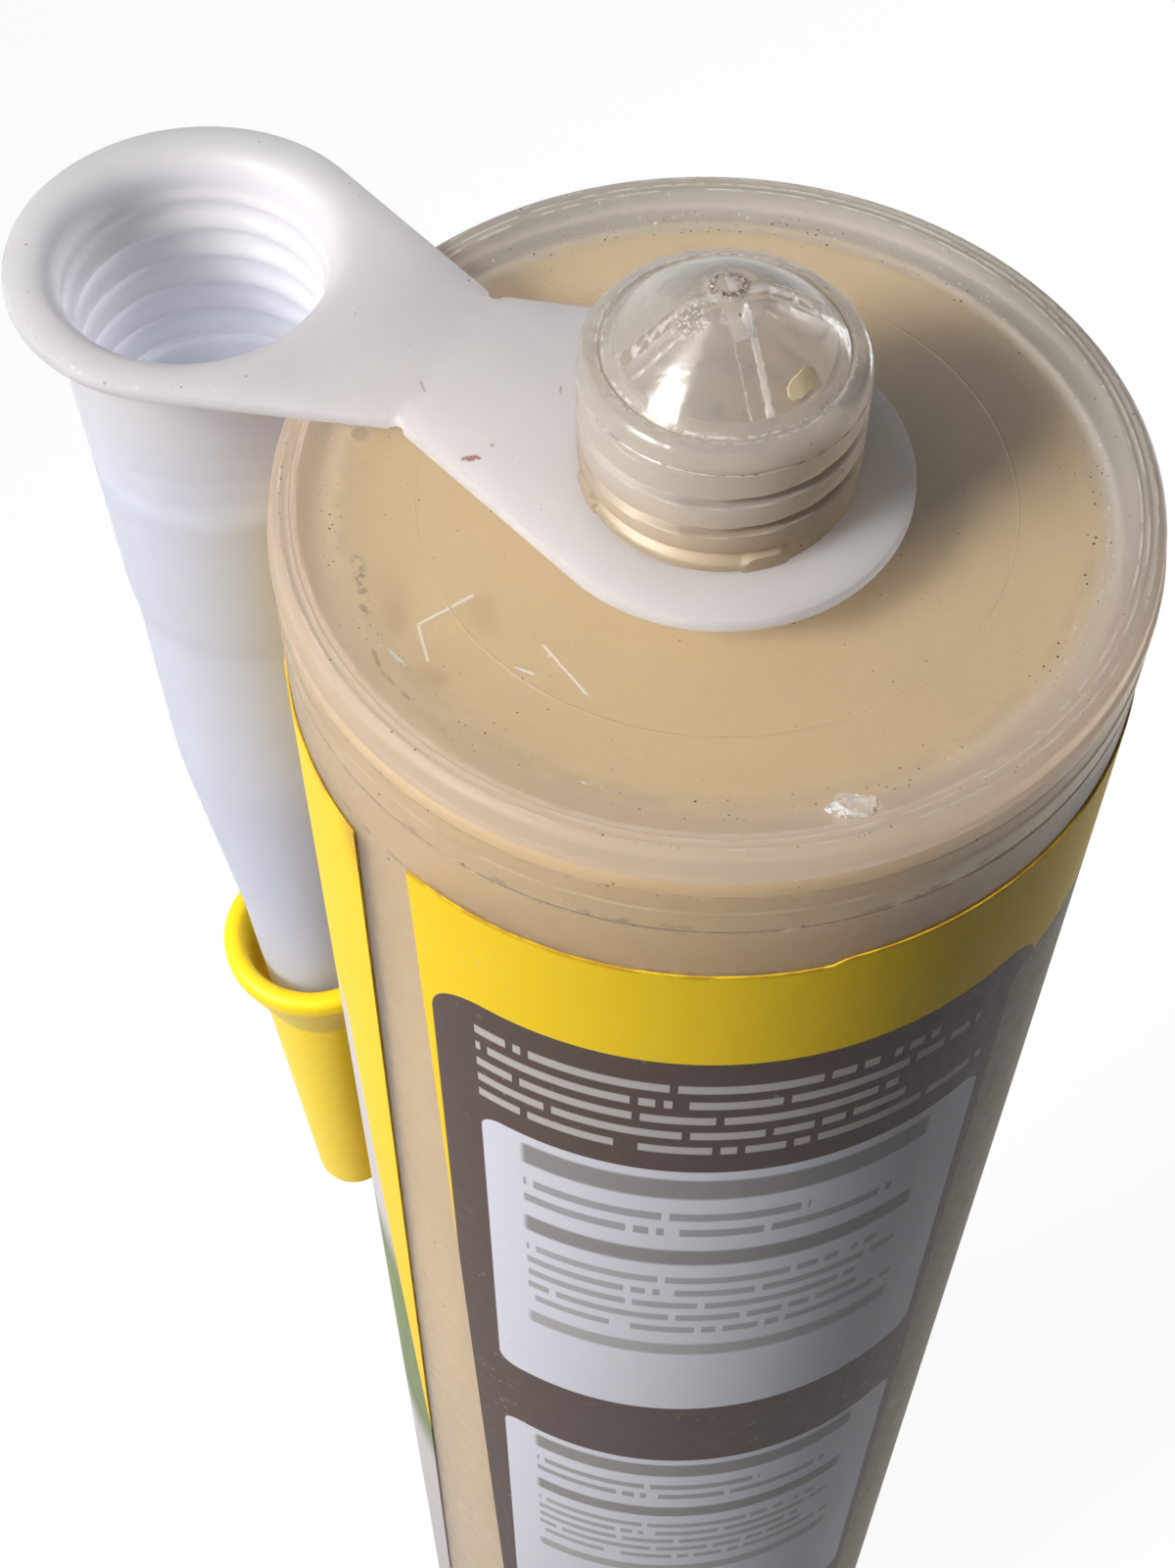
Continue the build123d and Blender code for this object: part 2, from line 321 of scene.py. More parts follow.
class Nodes:
    """Short ways to add nodes to a tree."""

    def __init__(self, tree):
        self.tree = tree

    def feed(self, socket, value):
        """Links an input to an output socket, or sets it to a plain value."""
        if isinstance(value, bpy.types.NodeSocket):
            self.tree.links.new(value, socket)
        else:
            socket.default_value = value

    def add(self, kind, settings=None, **inputs):
        """New node with its settings and inputs."""
        node = self.tree.nodes.new(kind)
        for name, value in (settings or {}).items():
            setattr(node, name, value)
        for name, value in inputs.items():
            self.feed(node.inputs[name.replace("_", " ")], value)
        return node

    def math(self, operation, *values):
        """Outcome of a sum with plain values or outputs."""
        node = self.add("ShaderNodeMath", {"operation": operation})
        for socket, value in zip(node.inputs, values):
            self.feed(socket, value)
        return node.outputs[0]

    def seen_directly(self):
        """1 for rays that show the background: straight, or by gloss or glass, with no matt bounce."""
        path = self.add("ShaderNodeLightPath").outputs
        through = self.math("MAXIMUM", path["Is Glossy Ray"], path["Is Transmission Ray"])
        seen = self.math("MAXIMUM", path["Is Camera Ray"], through)
        return self.math("GREATER_THAN", seen, path["Diffuse Depth"])


class Look(Nodes):
    """A material with one main shader, and masks and patterns for it."""

    def __init__(self, name):
        self.material = bpy.data.materials.new(name)
        self.material.use_nodes = True
        super().__init__(self.material.node_tree)
        self.tree.nodes.clear()
        self.shader = self.add("ShaderNodeBsdfPrincipled", {"subsurface_method": "BURLEY"})
        self.output = self.add("ShaderNodeOutputMaterial")
        self.show(self.shader.outputs[0])
        coordinates = self.add("ShaderNodeTexCoord").outputs["Object"]
        self.place = self.vector("SCALE", coordinates, scale=1 / MM)
        axes = self.add("ShaderNodeSeparateXYZ", Vector=self.place)
        self.x, self.y, self.z = axes.outputs

    def show(self, surface):
        """Makes an output the surface of the material."""
        self.surface = surface
        self.tree.links.new(surface, self.output.inputs["Surface"])

    def set(self, **inputs):
        """Sets inputs of the main shader."""
        for name, value in inputs.items():
            self.feed(self.shader.inputs[name.replace("_", " ")], value)

    def vector(self, operation, *values, scale=None):
        """Outcome of a sum with places."""
        node = self.add("ShaderNodeVectorMath", {"operation": operation})
        for socket, value in zip(node.inputs, values):
            self.feed(socket, value)
        if scale is not None:
            self.feed(node.inputs["Scale"], scale)
        return node.outputs["Value" if operation in ("LENGTH", "DOT_PRODUCT") else "Vector"]

    def step(self, value, low, high, to=1.0):
        """Soft step from 0 at low to a top value at high."""
        smooth = {"interpolation_type": "SMOOTHSTEP"}
        node = self.add("ShaderNodeMapRange", smooth, Value=value, From_Min=low, From_Max=high, To_Max=to)
        return node.outputs[0]

    def band(self, value, low, high, soft):
        """1 between two values, with soft ends."""
        rise = self.step(value, low - soft, low + soft)
        fall = self.step(value, high + soft, high - soft)
        return self.both(rise, fall)

    def near(self, value, middle, reach):
        """1 at a value, falling to 0 at a reach from it."""
        return self.step(self.math("ABSOLUTE", self.math("SUBTRACT", value, middle)), reach, 0.0)

    def mix(self, amount, under, over):
        """Colour between two by a mask."""
        node = self.add("ShaderNodeMix", {"data_type": "RGBA"})
        self.feed(node.inputs[0], amount)
        self.feed(node.inputs[6], under)
        self.feed(node.inputs[7], over)
        return node.outputs[2]

    def noise(self, size, detail=2.0, roughness=0.5, stretch=None):
        """Noise of 0 to 1 with features of about a size in millimetres."""
        place = self.place if stretch is None else self.vector("MULTIPLY", self.place, stretch)
        grain = {"Scale": 1 / size, "Detail": detail, "Roughness": roughness}
        return self.add("ShaderNodeTexNoise", Vector=place, **grain).outputs[0]

    def specks(self, spacing, size, share, seed, level=True):
        """Specks up to a size on a jittered grid, level or in space, in a share of its cells."""
        moved = self.vector("ADD", self.place, (seed * 7.3, seed * 3.1, seed * 5.7))
        grid = {"voronoi_dimensions": "2D" if level else "3D"}
        cells = self.add("ShaderNodeTexVoronoi", grid, Vector=moved, Scale=1 / spacing)
        chance = self.add("ShaderNodeSeparateColor", Color=cells.outputs["Color"])
        reach = self.math("MULTIPLY", chance.outputs[1], 0.6 * size / spacing)
        speck = self.step(cells.outputs["Distance"], reach, self.math("MULTIPLY", reach, 0.6))
        return self.math("MULTIPLY", speck, self.math("LESS_THAN", chance.outputs[0], share))

    def broken(self, size, low=0.45, high=0.6):
        """1 in irregular patches of about a size."""
        return self.step(self.noise(size, 2), low, high)

    def spot(self, x, y, reach):
        """1 at a point seen from above, falling to 0 at a reach from it."""
        return self.step(self.radius(x, y), reach, reach * 0.4)

    def both(self, *masks):
        """The product of masks, or of a mask and the share of it that counts."""
        return reduce(partial(self.math, "MULTIPLY"), masks)

    def most(self, *masks):
        """The strongest of several masks."""
        return reduce(partial(self.math, "MAXIMUM"), masks)

    def stroke(self, start, end, width):
        """1 on a straight mark between two points seen from above."""
        flat = self.vector("MULTIPLY", self.place, (1, 1, 0))
        way = Vector((*end, 0)) - Vector((*start, 0))
        offset = self.vector("SUBTRACT", flat, (*start, 0))
        along = self.math("DIVIDE", self.vector("DOT_PRODUCT", offset, tuple(way)), way.length_squared)
        along = self.math("MINIMUM", self.math("MAXIMUM", along, 0.0), 1.0)
        nearest = self.vector("SCALE", tuple(way), scale=along)
        distance = self.vector("LENGTH", self.vector("SUBTRACT", offset, nearest))
        return self.step(distance, width, width * 0.3)

    def bump(self, height, depth):
        """Normal from a height of 0 to 1 that stands for a depth in millimetres."""
        return self.add("ShaderNodeBump", Height=height, Distance=depth * MM).outputs[0]

    def lay_over(self, share, shader):
        """Puts another shader over the surface by a share."""
        mixer = self.add("ShaderNodeMixShader", Fac=share)
        self.feed(mixer.inputs[1], self.surface)
        self.feed(mixer.inputs[2], shader.outputs[0])
        self.show(mixer.outputs[0])

    def let_light_in(self, share, tint):
        """Shows a share of the light that falls on the far side of a thin wall."""
        self.lay_over(share, self.add("ShaderNodeBsdfTranslucent", Color=tint))

    def let_lamps_through(self, tint):
        """Lets the lamps' light pass straight through, dimmed by a tint."""
        shadow_ray = self.add("ShaderNodeLightPath").outputs["Is Shadow Ray"]
        self.lay_over(shadow_ray, self.add("ShaderNodeBsdfTransparent", Color=tint))

    def rough(self, low, high, size):
        """Roughness that wanders between two values."""
        ends = {"From_Min": 0.3, "From_Max": 0.7, "To_Min": low, "To_Max": high}
        return self.add("ShaderNodeMapRange", Value=self.noise(size, 3), **ends).outputs[0]

    def radius(self, x=0.0, y=0.0):
        """Distance from an upright axis."""
        flat = self.vector("MULTIPLY", self.place, (1, 1, 0))
        return self.vector("LENGTH", self.vector("SUBTRACT", flat, (x, y, 0)))


# Materials


def finish_clear(look, tint, clearness, dirt_and_shade, pale, relief, rough, lamp_tint, gloss=0.25):
    """Cloudy clear plastic, with dirt and painted shade in a dark colour, dust and painted highlights in a
    pale one, and a fine relief.
    """
    look.set(Base_Color=look.mix(dirt_and_shade, look.mix(pale, tint, srgb(240, 238, 234)), srgb(104, 80, 56)))
    bare = look.math("SUBTRACT", 1.0, look.most(dirt_and_shade, pale))
    look.set(Transmission_Weight=look.math("MULTIPLY", bare, clearness))
    look.set(Roughness=rough, IOR=1.4, Specular_IOR_Level=gloss, Normal=look.bump(relief, 0.05))
    look.let_lamps_through(lamp_tint)
    return look.material


def clear_wall():
    """Outside of the tube, with dirt in its seams and along the label's edge, and painted highlights in
    pale lines on the step under the rim and on the ledge line.
    """
    look = Look("clear_wall")
    patches = look.noise(2.2, 3)
    seam = look.both(look.near(look.z, SEAM_Z, 0.25), look.step(patches, 0.45, 0.6))
    low_seam = look.both(look.near(look.z, LOW_SEAM_Z, 0.26), look.step(patches, 0.25, 0.45))
    in_seams = look.most(look.near(look.z, SEAM_Z, 0.35), look.near(look.z, LOW_SEAM_Z + 0.1, 0.5))
    crumbs = look.both(in_seams, look.specks(0.4, 0.3, 0.6, 9, False))
    smear = look.both(look.near(look.z, LOW_SEAM_Z + 0.4, 0.5), look.step(patches, 0.5, 0.65))
    edge = look.both(look.near(look.z, LABEL_TOP - 0.35, 0.4), look.broken(2.0, 0.35, 0.55))
    dirt_and_shade = look.most(look.both(seam, 0.4), look.both(low_seam, 0.9), crumbs,
                     look.both(smear, 0.5), look.both(edge, 0.55),
                     look.specks(1.4, 0.24, 0.3, 8, False))
    # Painted highlights: broken pale lines on the step under the rim and on the ledge line
    ledge = look.both(look.near(look.z, LEDGE_LINE_Z + 0.05, 0.12), 0.4)
    crest = look.near(look.z, RIM_TOP - 2.0, 0.14)
    pale = look.both(look.most(crest, ledge), look.step(patches, 0.6, 0.45))
    tint = look.mix(look.noise(6, 2), srgb(232, 214, 188), srgb(226, 206, 176))
    relief = look.noise(0.8, 2)
    rough = look.rough(0.34, 0.42, 1.5)
    return finish_clear(look, tint, 0.9, dirt_and_shade, look.both(pale, 0.6), relief, rough, WALL_LAMP_TINT, 0.08)


def clear_top():
    """Shoulder and a milkier rim, with dust, handling marks and a mould line, and painted light: highlights
    on the rim's crests, shade at the rim's foot and a darker far side.
    """
    look = Look("clear_top")
    r = look.radius()
    rim = look.step(r, 20.7, 21.8)
    flat = look.step(r, 22.3, 22.0)

    # Dark: dirt specks, more of them at the foot of the rim, old smudges, and a painted shade band along
    # the foot of the rim
    foot = look.band(r, 20.3, 21.9, 0.3)
    level = look.step(r, RIM_OUTER - 0.3, RIM_OUTER - 0.5)
    edge = look.band(r, RIM_OUTER - 0.75, RIM_OUTER - 0.45, 0.1)
    clusters = look.broken(5.0, 0.4, 0.62)
    specks = look.most(
        look.both(look.specks(1.0, 0.12, 0.35, 1), level, clusters),
        look.both(look.specks(0.45, 0.17, 0.4, 3), foot, look.broken(4.0, 0.4, 0.55)),
        look.both(look.specks(0.4, 0.2, 0.5, 11), edge, look.broken(3.0, 0.42, 0.55)),
    )
    smudges = look.both(look.broken(0.5, 0.4, 0.58), look.most(
        look.stroke((-14.94, -13.47), (-13.35, -15.37), 0.5),
        look.stroke((-13.2, -15.9), (-12.38, -16.65), 0.3),
        look.stroke((-10.85, -18.48), (-9.89, -19.42), 0.2),
        look.stroke((-9.89, -19.42), (-7.61, -20.31), 0.16),
    ))
    blot = look.spot(-19.5, -5.75, 0.8)
    # Painted shade: a soft, broken dark band along the foot of the rim
    foot_shade = look.both(look.near(r, 20.75, 0.8), look.broken(3.0, 0.2, 0.6))
    dirt_and_shade = look.most(specks, look.both(look.most(smudges, blot), 0.6), look.both(foot_shade, 0.22))

    # Pale: painted highlights as broken lines on the crests of the rim, then fine dust and scratches
    patches = look.noise(1.1, 2)
    lines = look.most(
        look.both(look.near(r, RIM_INNER + 0.75, 0.1), look.step(patches, 0.44, 0.56)),
        look.both(look.near(r, RIM_INNER + 1.15, 0.1), look.step(patches, 0.58, 0.5)),
        look.both(look.near(r, RIM_OUTER - 0.55, 0.09), look.step(patches, 0.46, 0.6)),
    )
    dust = look.most(
        look.both(look.specks(0.9, 0.15, 0.4, 2), level, look.broken(6.0, 0.36, 0.6)),
        look.both(look.specks(0.5, 0.2, 0.4, 4), foot),
    )
    scratches = look.most(
        look.stroke((-9.71, -15.77), (-8.18, -12.72), 0.13),
        look.stroke((-9.71, -15.77), (-8.11, -17.59), 0.11),
        look.stroke((-10.22, -17.93), (-9.02, -18.44), 0.14),
        look.stroke((-3.22, -13.84), (0.3, -15.56), 0.12),
        look.stroke((-3.74, -15.8), (-2.79, -15.72), 0.14),
    )
    pale = look.most(look.both(lines, 0.9), dust, look.both(scratches, 0.7))
    mould_line = look.both(look.near(r, 16.6, 0.12), flat)
    relief = look.math("ADD", mould_line, look.noise(0.8, 2))
    # Painted shade: the rim is tinted greyer and darker towards its far side, and lets less light in there
    far = look.step(look.y, -8.0, 16.0)
    rim_tint_with_far_shade = look.mix(far, srgb(216, 204, 193), srgb(188, 186, 182))
    tint = look.mix(rim, srgb(234, 222, 204), rim_tint_with_far_shade)
    clearness = look.math("SUBTRACT", 0.96, look.both(rim, 0.5))
    glow = look.both(rim, look.math("SUBTRACT", 0.47, look.both(far, 0.25)))
    look.let_light_in(glow, srgb(238, 224, 210))
    rough = look.rough(0.36, 0.44, 1.5)
    return finish_clear(look, tint, clearness, dirt_and_shade, pale, relief, rough, WALL_LAMP_TINT, 0.12)


def clear_nipple():
    """Milky thread and a clearer dome, with dirt along the ledge, a sandy patch, painted shade under the
    thread's ridges at the front and painted highlights on the ledge's crest.
    """
    look = Look("clear_nipple")
    ledge = look.both(look.near(look.z, LEDGE - 1.38, 0.16), look.broken(0.6, 0.46, 0.6))
    grains = look.noise(0.18, 2)
    on_dome = look.step(look.z, LEDGE + 1.0, LEDGE + 1.6)
    sand = look.both(look.spot(-1.1, -2.2, 1.2), on_dome)
    gate = look.both(look.near(look.radius(GATE_X, GATE_Y), GATE_RADIUS, 0.4), on_dome)
    rough_patch = look.most(look.both(sand, 0.7), gate)
    grit = look.both(rough_patch, look.step(grains, 0.46, 0.52))
    # Painted shade: a dark line along the underside of each thread ridge, on the front only
    rise = look.math("DIVIDE", look.math("SUBTRACT", look.z, THREAD_START), THREAD_PITCH)
    around = look.math("DIVIDE", look.math("ARCTAN2", look.y, look.x), 2 * math.pi)
    phase = look.math("FRACT", look.math("ADD", look.math("SUBTRACT", rise, around), 0.62))
    front = look.vector("DOT_PRODUCT", look.place, (math.cos(RIB_TURN), math.sin(RIB_TURN), 0))
    on_thread = look.band(look.z, THREAD_START + 0.9, LAND_BOTTOM, 0.1)
    groove_shade = look.both(look.near(phase, 0.5, 0.12), look.step(front, 3.5, 6.5), on_thread)
    specks = look.specks(1.1, 0.2, 0.3, 5, False)
    dirt_and_shade = look.most(ledge, specks, grit, look.both(groove_shade, 0.7))
    sand = look.both(rough_patch, look.step(grains, 0.42, 0.36))
    # Painted highlights: a broken pale line on the ledge's crest
    crests = look.both(look.near(look.z, LEDGE, 0.1), look.broken(0.5, 0.45, 0.6))
    pale = look.most(look.both(sand, 0.7), look.both(crests, 0.6))
    low = look.step(look.z, THREAD_START + 3.5, THREAD_START)
    tint = look.mix(low, srgb(236, 230, 224), srgb(212, 194, 168))
    clearness = look.math("ADD", look.step(look.z, LEDGE - 1.6, LEDGE + 0.4, 0.18), 0.58)
    rough = look.math("ADD", look.step(look.z, LEDGE - 0.8, LAND_BOTTOM - 0.6, 0.26), 0.18)
    relief = look.noise(0.9, 2)
    lamp_tint = (0.25, 0.23, 0.2, 1)
    return finish_clear(look, tint, clearness, dirt_and_shade, pale, relief, rough, lamp_tint, 0.5)


def clear_inside(name, gloss):
    """Inner faces of the moulding, duller below the dome."""
    look = Look(name)
    look.set(Base_Color=look.mix(look.noise(5, 2), srgb(240, 234, 226), srgb(234, 226, 216)))
    look.set(Roughness=look.math("ADD", look.step(look.z, LEDGE, LEDGE - 2.0, 0.4), 0.16))
    look.set(Transmission_Weight=0.92, IOR=1.4, Specular_IOR_Level=gloss)
    look.let_lamps_through((0.9, 0.9, 0.88, 1))
    return look.material


def milky_plastic():
    """Milky white moulding that lets light through, with fine dirt on its plate and painted glints along
    the flange's edge.
    """
    look = Look("milky_plastic")
    on_top = look.step(look.z, PLATE_TOP - 0.3, PLATE_TOP - 0.05)
    specks = look.both(look.specks(2.4, 0.18, 0.25, 2), on_top)
    rim = look.both(look.near(look.radius(NOZZLE_X), FLANGE_RADIUS - 0.3, 0.5), on_top)
    rim_dirt = look.both(look.specks(0.6, 0.24, 0.4, 6), rim, look.broken(4.0, 0.48, 0.6))
    # Painted glints: white specks along the flange's edge on the top
    rim_glints = look.both(look.specks(0.5, 0.3, 0.4, 7), rim, look.broken(3.0, 0.48, 0.6))
    rust = look.most(
        look.both(look.stroke((-12.3, -6.2), (-11.75, -5.75), 0.3), look.broken(0.3, 0.4, 0.5)),
        look.both(look.stroke((-17.35, -2.4), (-16.8, -2.9), 0.12), 0.6),
        look.both(look.stroke((-10.3, 1.0), (-10.1, 0.6), 0.12), 0.6),
        look.both(look.spot(-11.5, -4.6, 0.2), 0.7),
    )
    lower = look.step(look.z, PLATE_BOTTOM - 2.0, PLATE_BOTTOM - 14.0)
    white = look.mix(look.noise(3.0, 4), srgb(216, 213, 213), srgb(222, 219, 219))
    white = look.mix(lower, white, srgb(213, 215, 225))
    white = look.mix(rim_glints, white, srgb(244, 244, 242))
    white = look.mix(look.most(specks, rim_dirt), white, srgb(112, 92, 72))
    look.set(Base_Color=look.mix(rust, white, srgb(150, 70, 34)))
    look.set(Roughness=look.rough(0.4, 0.48, 1.0), IOR=1.46, Normal=look.bump(look.noise(1.2, 3), 0.02))
    look.set(Subsurface_Weight=1.0, Subsurface_Radius=(1.0, 1.0, 1.05), Subsurface_Scale=2.5 * MM)
    look.let_light_in(0.4, srgb(220, 221, 228))
    look.let_lamps_through((0.62, 0.62, 0.62, 1))
    return look.material


def yellow_plastic():
    """Bright yellow moulding of the cap, which lets a little light through."""
    look = Look("yellow_plastic")
    scuffs = look.both(look.broken(0.6, 0.6, 0.75), look.broken(5.0, 0.5, 0.7))
    yellow = look.mix(look.noise(2.0, 4), srgb(253, 216, 8), srgb(255, 222, 20))
    look.set(Base_Color=look.mix(look.both(scuffs, 0.4), yellow, srgb(226, 196, 40)))
    look.set(Roughness=look.rough(0.42, 0.5, 0.8), Normal=look.bump(look.noise(0.8, 3), 0.02))
    look.set(Subsurface_Weight=0.6, Subsurface_Radius=(1.0, 0.8, 0.1), Subsurface_Scale=1.5 * MM)
    look.let_lamps_through((0.5, 0.42, 0.05, 1))
    return look.material


def sealant(name="sealant", dark=(184, 168, 135), pale=(190, 174, 141)):
    """Beige paste with faint painted shadows of the shoulder's marks on it."""
    look = Look(name)
    beige = look.mix(look.noise(7, 4), srgb(*dark), srgb(*pale))
    # Painted shadows that the marks on the shoulder cast on the paste below
    shade = look.most(
        look.stroke((-7.97, -11.92), (-7.2, -13.2), 0.9),
        look.stroke((-7.66, -17.42), (-8.4, -18.0), 0.9),
        look.stroke((-12.6, -13.6), (-11.2, -15.6), 0.9),
    )
    look.set(Base_Color=look.mix(look.both(shade, 0.35), beige, srgb(140, 118, 84)))
    look.set(Roughness=look.rough(0.5, 0.65, 1.2), Specular_IOR_Level=0.05)
    look.set(Normal=look.bump(look.noise(1.2, 4), 0.05))
    return look.material


def clear_chip():
    """Clean clear chip of the same plastic, with a few frosted faces."""
    look = Look("clear_chip")
    frost = look.broken(0.5, 0.5, 0.56)
    look.set(Base_Color=look.mix(frost, srgb(250, 248, 246), srgb(240, 240, 240)))
    look.set(Transmission_Weight=look.math("SUBTRACT", 0.95, look.both(frost, 0.5)))
    look.set(Roughness=look.rough(0.05, 0.16, 0.4), IOR=1.5)
    look.let_lamps_through((0.8, 0.8, 0.8, 1))
    return look.material


def piston_plastic():
    """Pale grey moulding of the piston."""
    look = Look("piston_plastic")
    look.set(Base_Color=look.mix(look.noise(2.0, 4), srgb(206, 207, 206), srgb(222, 222, 220)))
    look.set(Roughness=look.rough(0.4, 0.5, 0.8))
    return look.material


def label_film():
    """Yellow film printed with a dark panel, plain fields and plain bars."""
    look = Look("label_film")
    turn = STRIP_AZIMUTH + math.pi
    across = look.vector("DOT_PRODUCT", look.place, (-math.sin(turn), math.cos(turn), 0))
    away = look.vector("DOT_PRODUCT", look.place, (math.cos(turn), math.sin(turn), 0))
    angle = look.math("ADD", look.math("ARCTAN2", across, away), math.pi)
    arc_length = look.math("MULTIPLY", angle, LABEL_RADIUS)
    whole = 2 * math.pi * LABEL_RADIUS
    drop = look.math("SUBTRACT", LABEL_TOP, look.z)

    def field(left, top, right, bottom, corner, soft=0.06):
        """1 inside a rounded rectangle of the print."""
        sides = []
        for value, low, high in ((arc_length, left, right), (drop, top, bottom)):
            offset = look.math("ABSOLUTE", look.math("SUBTRACT", value, (low + high) / 2))
            beyond = look.math("SUBTRACT", offset, (high - low) / 2 - corner)
            sides.append(look.math("MAXIMUM", beyond, 0.0))
        distance = look.math("SQRT", look.math("ADD", *(look.math("MULTIPLY", s, s) for s in sides)))
        return look.step(distance, corner + soft, corner - soft)

    def bars(left, top, right, bottom, pitch, ragged):
        """1 on level broken bars in place of lines of print, with uneven right ends."""
        rows = look.math("DIVIDE", look.math("SUBTRACT", drop, top), pitch)
        row = look.math("FLOOR", rows)
        bar = look.band(look.math("SUBTRACT", rows, row), 0.25, 0.72, 0.06)
        chance = look.add("ShaderNodeTexWhiteNoise", {"noise_dimensions": "1D"}, W=row).outputs["Value"]
        cell = look.math("FLOOR", look.math("ADD", look.math("DIVIDE", arc_length, 0.5), chance))
        along = look.math("ADD", cell, look.math("MULTIPLY", row, 183.0))
        gap = look.add("ShaderNodeTexWhiteNoise", {"noise_dimensions": "1D"}, W=along).outputs["Value"]
        bar = look.both(bar, look.math("GREATER_THAN", gap, 0.12))
        end = look.math("SUBTRACT", right, look.math("MULTIPLY", chance, ragged))
        after = look.math("GREATER_THAN", arc_length, left)
        before = look.math("LESS_THAN", arc_length, end)
        return look.both(bar, after, before, look.band(drop, top, bottom, 0.05))

    # A dark panel with pale fields, then a mottled side and the fields of the far side
    brown, white, grey = srgb(92, 78, 74), srgb(220, 220, 230), srgb(150, 146, 146)
    pale_print = srgb(190, 184, 180)
    layers = [
        (field(3.4, 10.4, 43.5, 186.0, 4.0), brown),
        (bars(6.6, 12.6, 40.0, 22.6, 2.0, 8.0), pale_print),
    ]
    left, right = 9.5, 36.5
    for top, bottom in ((24.6, 66.5), (78.5, 130.0), (142.0, 180.0)):
        layers += [
            (field(6.6, top, 40.5, bottom, 1.6), white),
            (field(left, top + 1.2, right, top + 4.0, 0.3, 0.25), grey),
            (bars(left, top + 5.6, right, top + 10.4, 2.4, 14.0), srgb(168, 166, 170)),
            (field(left, top + 12.0, right, top + 14.4, 0.3, 0.25), grey),
            (bars(left, top + 16.0, right, top + 27.0, 2.2, 4.0), srgb(176, 174, 178)),
            (field(left, top + 28.6, right, top + 30.6, 0.3, 0.25), srgb(176, 173, 174)),
        ]
    mottled = look.mix(look.noise(3.5, 3), srgb(104, 100, 82), srgb(168, 158, 132))
    layers += [
        (field(41.6, 13.0, 66.0, 186.0, 3.0), mottled),
        (field(72.0, 30.0, 130.0, 96.0, 5.0), brown),
        (field(76.0, 36.0, 126.0, 60.0, 3.0), srgb(196, 170, 120)),
        (field(72.0, 106.0, 130.0, 120.0, 3.0), white),
        (field(72.0, 126.0, 130.0, 170.0, 5.0), srgb(176, 130, 84)),
        (bars(76.0, 66.0, 126.0, 90.0, 4.0, 16.0), pale_print),
    ]
    colour = look.mix(look.noise(9, 3), srgb(245, 206, 40), srgb(248, 211, 48))
    for mask, tint in layers:
        colour = look.mix(mask, colour, tint)

    # Beside the film's last end: a pale slanted field with a green band across it
    lean = look.math("MULTIPLY", look.math("SUBTRACT", drop, 33.0), -0.065)
    slant = look.math("ADD", arc_length, lean)
    side = look.both(look.step(slant, whole - 9.1, whole - 9.3), look.step(drop, 32.0, 34.0),
                     look.math("GREATER_THAN", arc_length, whole - 24.0))
    colour = look.mix(side, colour, srgb(206, 198, 200))
    leafy = look.both(side, look.band(drop, 70.0, 112.0, 6.0))
    colour = look.mix(leafy, colour, look.mix(look.noise(5, 3), srgb(92, 112, 70), srgb(140, 150, 104)))

    # Amber glue along the top and at the last end, then pale scuffs
    first_drop = look.step(arc_length, 26.9, 26.4, TOP_STEP)
    last_drop = look.step(arc_length, LAST_END_SHARE * whole, whole, LAST_END_DROP)
    below_edge = look.math("SUBTRACT", drop, look.math("ADD", first_drop, last_drop))
    top_edge = look.both(look.near(below_edge, 0.0, 0.45), look.broken(1.5, 0.3, 0.6))
    glue = look.both(look.step(arc_length, whole - 4.5, whole - 2.2), look.step(drop, 9.0, 2.0))
    colour = look.mix(look.both(look.most(top_edge, glue), 0.65), colour, srgb(184, 128, 44))
    scuff = look.both(look.broken(0.7, 0.62, 0.72), look.broken(6.0, 0.5, 0.65))
    look.set(Base_Color=look.mix(look.both(scuff, 0.25), colour, srgb(206, 196, 180)))
    look.set(Roughness=look.rough(0.42, 0.5, 0.8), Specular_IOR_Level=0.05)
    look.set(Normal=look.bump(look.noise(5, 3), 0.06))
    return look.material


# Pieces


def thread_height(theta, z):
    """Share of the thread's depth at a point of the nipple."""
    turns = (z - THREAD_START) / THREAD_PITCH - theta / (2 * math.pi)
    from_ridge = np.abs(turns - np.round(turns - 0.5) - 0.5) * THREAD_PITCH
    ridge = smoothstep(1.02, 0.72, from_ridge)
    return ridge * smoothstep(THREAD_START, THREAD_START + 0.3, z)


def off_nearest(theta, count):
    """Angle from the nearest of a count of even places, one of them on the first rib."""
    between = 2 * math.pi / count
    return (theta - RIB_TURN + between / 2) % between - between / 2


